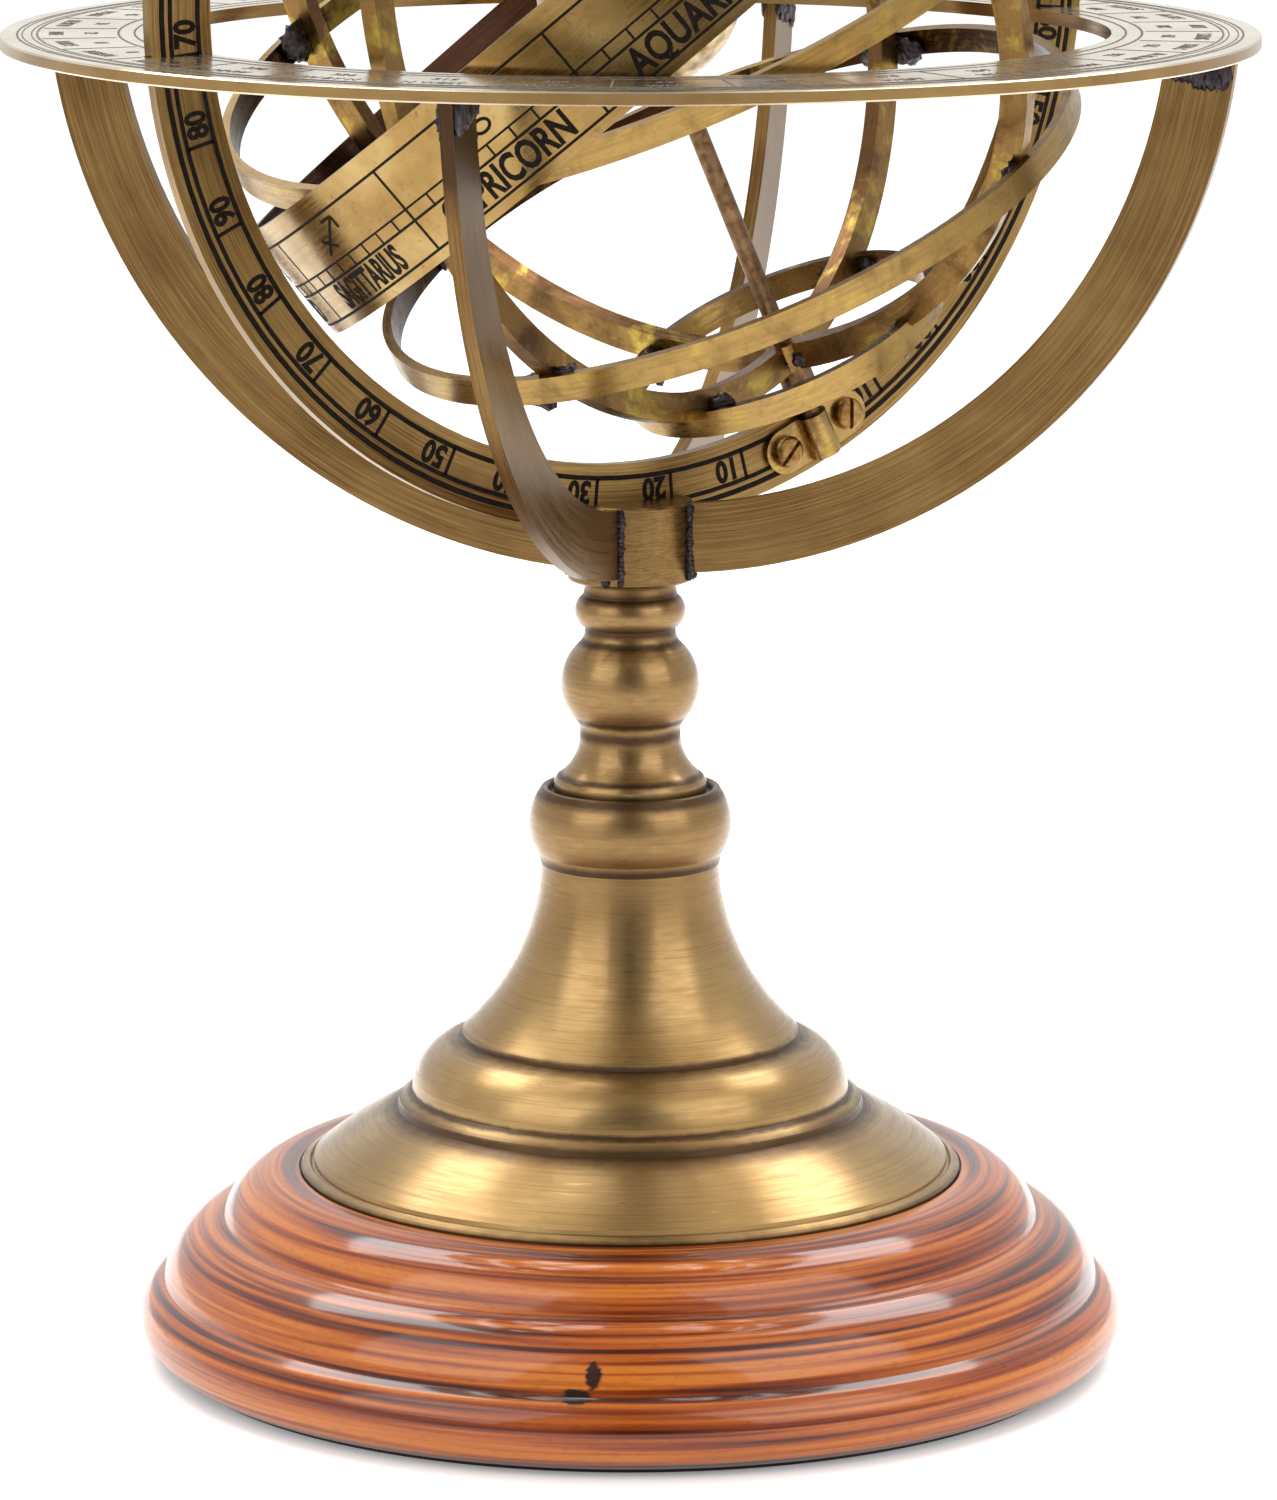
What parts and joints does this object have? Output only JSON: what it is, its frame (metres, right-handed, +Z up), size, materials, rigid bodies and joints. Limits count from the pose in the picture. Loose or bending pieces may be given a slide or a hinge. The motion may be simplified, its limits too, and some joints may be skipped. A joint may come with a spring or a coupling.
{
  "type": "armillary sphere",
  "caption": "Brass armillary sphere: a tilting meridian ring and a spinning cage of celestial circles inside a flat horizon ring, on a turned baluster stand with a wooden base",
  "frame": {"origin": "centre of the underside of the base", "axes": "+Z up along the column; the meridian ring lies in the XZ plane with its engraved face to -Y and the lower pole towards +X"},
  "size_m": [0.228, 0.228, 0.3531],
  "materials": {
    "felt_pad": "thin dark felt glued under the base",
    "wooden_base": "turned hardwood, red-brown stain with dark streaks, gloss lacquer",
    "bell_foot": "satin antique brass, brown in the hollows",
    "collar": "satin antique brass, brown in the hollows",
    "baluster_column": "satin antique brass, brown in the hollows",
    "tie_rod": "plain steel studding",
    "tie_washer": "zinc-plated steel",
    "tie_nut": "zinc-plated steel",
    "arm_hub": "satin antique brass, brown in the hollows",
    "arm_right": "satin antique brass, brown in the hollows",
    "arm_back": "satin antique brass, brown in the hollows",
    "arm_left": "satin antique brass, brown in the hollows",
    "arm_front": "satin antique brass, brown in the hollows",
    "horizon_ring": "flat ring, satin antique brass with engraved lines",
    "meridian_ring": "satin antique brass with an engraved degree scale",
    "lower_pole_strap": "satin antique brass, brown in the hollows",
    "upper_pole_strap": "satin antique brass, brown in the hollows",
    "lower_strap_screws": "satin antique brass, brown in the hollows",
    "upper_strap_screws": "satin antique brass, brown in the hollows",
    "polar_axis_rod": "satin antique brass, brown in the hollows",
    "earth_ball": "satin antique brass, brown in the hollows",
    "solstitial_colure": "satin antique brass, brown in the hollows",
    "equinoctial_colure": "satin antique brass, brown in the hollows",
    "arctic_circle": "satin antique brass, brown in the hollows",
    "tropic_of_cancer": "satin antique brass, brown in the hollows",
    "celestial_equator": "satin antique brass, brown in the hollows",
    "tropic_of_capricorn": "satin antique brass, brown in the hollows",
    "antarctic_circle": "satin antique brass, brown in the hollows",
    "zodiac_band": "satin antique brass with engraved signs",
    "band_joints": "dark soft solder",
    "lower_pole_spacer": "satin antique brass, brown in the hollows",
    "upper_pole_spacer": "satin antique brass, brown in the hollows"
  },
  "bodies": {
    "stand": {"felt_pad": "felt_pad", "wooden_base": "wooden_base", "bell_foot": "bell_foot", "collar": "collar", "baluster_column": "baluster_column", "tie_rod": "tie_rod", "tie_washer": "tie_washer", "tie_nut": "tie_nut", "arm_hub": "arm_hub", "arm_right": "arm_right", "arm_back": "arm_back", "arm_left": "arm_left", "arm_front": "arm_front", "horizon_ring": "horizon_ring"},
    "meridian": {"meridian_ring": "meridian_ring", "lower_pole_strap": "lower_pole_strap", "upper_pole_strap": "upper_pole_strap", "lower_strap_screws": "lower_strap_screws", "upper_strap_screws": "upper_strap_screws"},
    "celestial_cage": {"polar_axis_rod": "polar_axis_rod", "earth_ball": "earth_ball", "solstitial_colure": "solstitial_colure", "equinoctial_colure": "equinoctial_colure", "arctic_circle": "arctic_circle", "tropic_of_cancer": "tropic_of_cancer", "celestial_equator": "celestial_equator", "tropic_of_capricorn": "tropic_of_capricorn", "antarctic_circle": "antarctic_circle", "zodiac_band": "zodiac_band", "band_joints": "band_joints", "lower_pole_spacer": "lower_pole_spacer", "upper_pole_spacer": "upper_pole_spacer"}
  },
  "joints": [
    {"name": "meridian_tilt", "type": "hinge", "parent": "stand", "child": "meridian", "pos_m": [0, 0, 0.2539], "axis": [0, -1, 0], "range_deg": [-10, 50]},
    {"name": "sphere_spin", "type": "hinge", "parent": "meridian", "child": "celestial_cage", "pos_m": [0, -0.00305, 0.2539], "axis": [-0.4226, 0, 0.9063], "continuous": true}
  ]
}
